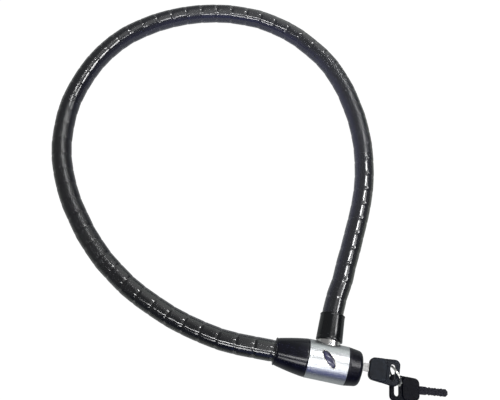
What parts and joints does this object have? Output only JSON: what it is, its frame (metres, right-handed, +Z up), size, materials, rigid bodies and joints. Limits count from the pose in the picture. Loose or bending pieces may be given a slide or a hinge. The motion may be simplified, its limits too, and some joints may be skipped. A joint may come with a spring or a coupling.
{
  "type": "cable lock",
  "caption": "Armoured cable lock: steel sleeves in a smoky clear sheath loop from a barrel lock head to a plug in its side, with keys on a split ring.",
  "frame": {"origin": "middle of the cable's loop, on the surface the lock lies on", "axes": "+X along the lock head towards the keys, +Y along the plug out of the head, +Z up"},
  "size_m": [0.4458, 0.4075, 0.0363],
  "materials": {
    "brushed_band": "brushed round the head, satin",
    "cast_body": "as cast zinc",
    "boot_rubber": "semi-gloss moulded rubber",
    "cap_plastic": "moulded, finely turned grooves",
    "collar_plastic": "glossy moulded",
    "badge_enamel": "domed gloss",
    "bright_nickel": "bright nickel plate",
    "brass": "machined",
    "pin_steel": "plain steel",
    "key_nickel": "nickel plate, worn",
    "key_plastic": "moulded, satin",
    "clear_sheath": "smoky clear, glossy",
    "sleeve_steel": "hardened, dark",
    "rope_steel": "galvanised wire rope"
  },
  "bodies": {
    "head": {"band": "brushed_band", "lock_body": "cast_body", "rear_boot": "boot_rubber", "front_cap": "cap_plastic", "badge": "badge_enamel", "badge_rim": "bright_nickel", "cylinder_housing": "brass", "housing_pin": "pin_steel", "rope_terminal": "pin_steel", "terminal_pin": "pin_steel", "latch_spring": "pin_steel", "sheath_1": "clear_sheath", "armour_1": "sleeve_steel", "rope_1": "rope_steel"},
    "core": {"cylinder_core": "brass", "wafers": "brass", "cam": "pin_steel"},
    "latch": {"latch_plate": "pin_steel"},
    "key": {"key_blade": "key_nickel", "key_head": "key_plastic"},
    "ring": {"split_ring": "bright_nickel"},
    "spare_key": {"spare_key_blade": "key_nickel", "spare_key_head": "key_plastic"},
    "cable_2": {"sheath_2": "clear_sheath", "armour_2": "sleeve_steel", "rope_2": "rope_steel"},
    "cable_3": {"sheath_3": "clear_sheath", "armour_3": "sleeve_steel", "rope_3": "rope_steel"},
    "cable_4": {"sheath_4": "clear_sheath", "armour_4": "sleeve_steel", "rope_4": "rope_steel"},
    "cable_5": {"sheath_5": "clear_sheath", "armour_5": "sleeve_steel", "rope_5": "rope_steel"},
    "cable_6": {"sheath_6": "clear_sheath", "armour_6": "sleeve_steel", "rope_6": "rope_steel", "locking_plug": "bright_nickel", "plug_seal": "boot_rubber", "plug_pin": "pin_steel", "plug_collar": "collar_plastic"}
  },
  "joints": [
    {"name": "cable_bend_1", "type": "hinge", "parent": "head", "child": "cable_2", "pos_m": [-0.00926, -0.17724, 0.01106], "axis": [0, 0, -1], "range_deg": [0, 6.23]},
    {"name": "cable_bend_2", "type": "hinge", "parent": "cable_2", "child": "cable_3", "pos_m": [-0.13453, -0.08514, 0.01021], "axis": [0, 0, 1], "range_deg": [0, 8.62]},
    {"name": "cable_bend_3", "type": "hinge", "parent": "cable_3", "child": "cable_4", "pos_m": [-0.15983, 0.0818, 0.01021], "axis": [0, 0, 1], "range_deg": [0, 2.97]},
    {"name": "cable_bend_4", "type": "hinge", "parent": "cable_4", "child": "cable_5", "pos_m": [0.00715, 0.18622, 0.01021], "axis": [0, 0, -1], "range_deg": [0, 2.54]},
    {"name": "cable_bend_5", "type": "hinge", "parent": "cable_5", "child": "cable_6", "pos_m": [0.14949, 0.0492, 0.01028], "axis": [0, 0, -1], "range_deg": [0, 2.82]},
    {"name": "core_turn", "type": "hinge", "parent": "head", "child": "core", "pos_m": [0.173, -0.187, 0.018], "axis": [-1, 0, 0], "range_deg": [0, 90]},
    {"name": "latch_slide", "type": "slide", "parent": "head", "child": "latch", "axis": [0, 0, 1], "range_m": [0, 0.00241], "deforming": ["latch_spring"]},
    {"name": "key_slide", "type": "slide", "parent": "core", "child": "key", "axis": [1, 0, 0], "range_m": [0, 0.024]},
    {"name": "ring_swing", "type": "hinge", "parent": "key", "child": "ring", "pos_m": [0.211, -0.187, 0.018], "axis": [0, -1, 0], "range_deg": [0, 75]},
    {"name": "spare_key_swing", "type": "hinge", "parent": "ring", "child": "spare_key", "pos_m": [0.2107, -0.188, 0.0121], "axis": [-0.8, -0.6, 0], "range_deg": [0, 40]}
  ],
  "couplings": [
    {"joint": "cable_bend_2", "follows": "cable_bend_1", "ratio": 1.3809},
    {"joint": "cable_bend_3", "follows": "cable_bend_1", "ratio": 0.47283},
    {"joint": "cable_bend_4", "follows": "cable_bend_1", "ratio": 0.4049},
    {"joint": "cable_bend_5", "follows": "cable_bend_1", "ratio": 0.44886},
    {"joint": "latch_slide", "follows": "core_turn", "m_per_rad": 0.0015305}
  ]
}
